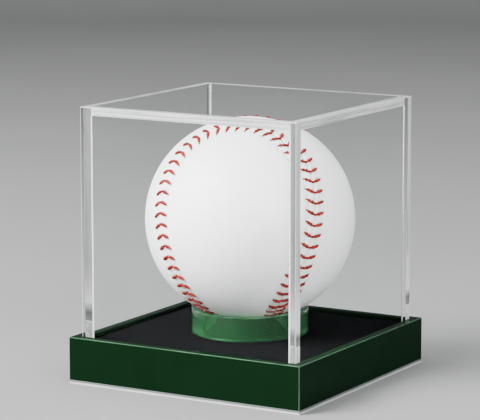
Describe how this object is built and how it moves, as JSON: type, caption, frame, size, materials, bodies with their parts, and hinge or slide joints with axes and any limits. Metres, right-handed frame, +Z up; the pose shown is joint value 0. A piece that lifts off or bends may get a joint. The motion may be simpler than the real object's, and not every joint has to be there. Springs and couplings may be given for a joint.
{
  "type": "baseball display case",
  "caption": "Clear square lift-off cover on a green tray base, with a baseball on a bevelled ring.",
  "frame": {"origin": "middle of the underside of the base", "axes": "+Z up, -Y towards the front wall, +X towards the right wall"},
  "size_m": [0.094, 0.094, 0.0996],
  "materials": {
    "clear_acrylic": "clear cast sheet, polished faces, brighter cut edges",
    "green_acrylic": "dark green cast sheet, polished, light green cut edges",
    "ring_acrylic": "green cast tube, turned and polished",
    "black_acrylic": "black sheet, satin gloss",
    "leather": "white full-grain leather, fine pores",
    "red_thread": "waxed twisted cotton thread",
    "cork": "ground cork, pressed",
    "black_rubber": "moulded, matt",
    "red_rubber": "moulded, matt",
    "grey_wool": "wound wool yarn",
    "white_wool": "wound wool yarn",
    "cotton": "wound cotton yarn with adhesive"
  },
  "bodies": {
    "base": {"base_bottom_plate": "clear_acrylic", "base_wall_front": "green_acrylic", "base_wall_back": "green_acrylic", "base_wall_left": "green_acrylic", "base_wall_right": "green_acrylic", "deck_support_front": "black_acrylic", "deck_support_back": "black_acrylic", "deck_support_left": "black_acrylic", "deck_support_right": "black_acrylic", "deck_panel": "black_acrylic", "ball_ring": "ring_acrylic"},
    "cover": {"cover_top": "clear_acrylic", "cover_front": "clear_acrylic", "cover_back": "clear_acrylic", "cover_left": "clear_acrylic", "cover_right": "clear_acrylic"},
    "ball": {"cork_core": "cork", "black_rubber_half_lower": "black_rubber", "black_rubber_half_upper": "black_rubber", "red_rubber_shell": "red_rubber", "wool_winding_inner": "grey_wool", "wool_winding_middle": "white_wool", "wool_winding_outer": "grey_wool", "cotton_winding": "cotton", "leather_panel_a": "leather", "leather_panel_b": "leather", "seam_stitching": "red_thread"}
  },
  "joints": [
    {"name": "cover_lift", "type": "slide", "parent": "base", "child": "cover", "axis": [0, 0, 1], "range_m": [0, 0.1]},
    {"name": "ball_spin", "type": "hinge", "parent": "base", "child": "ball", "pos_m": [0, 0, 0.0572], "axis": [0, 0, 1], "continuous": true}
  ]
}
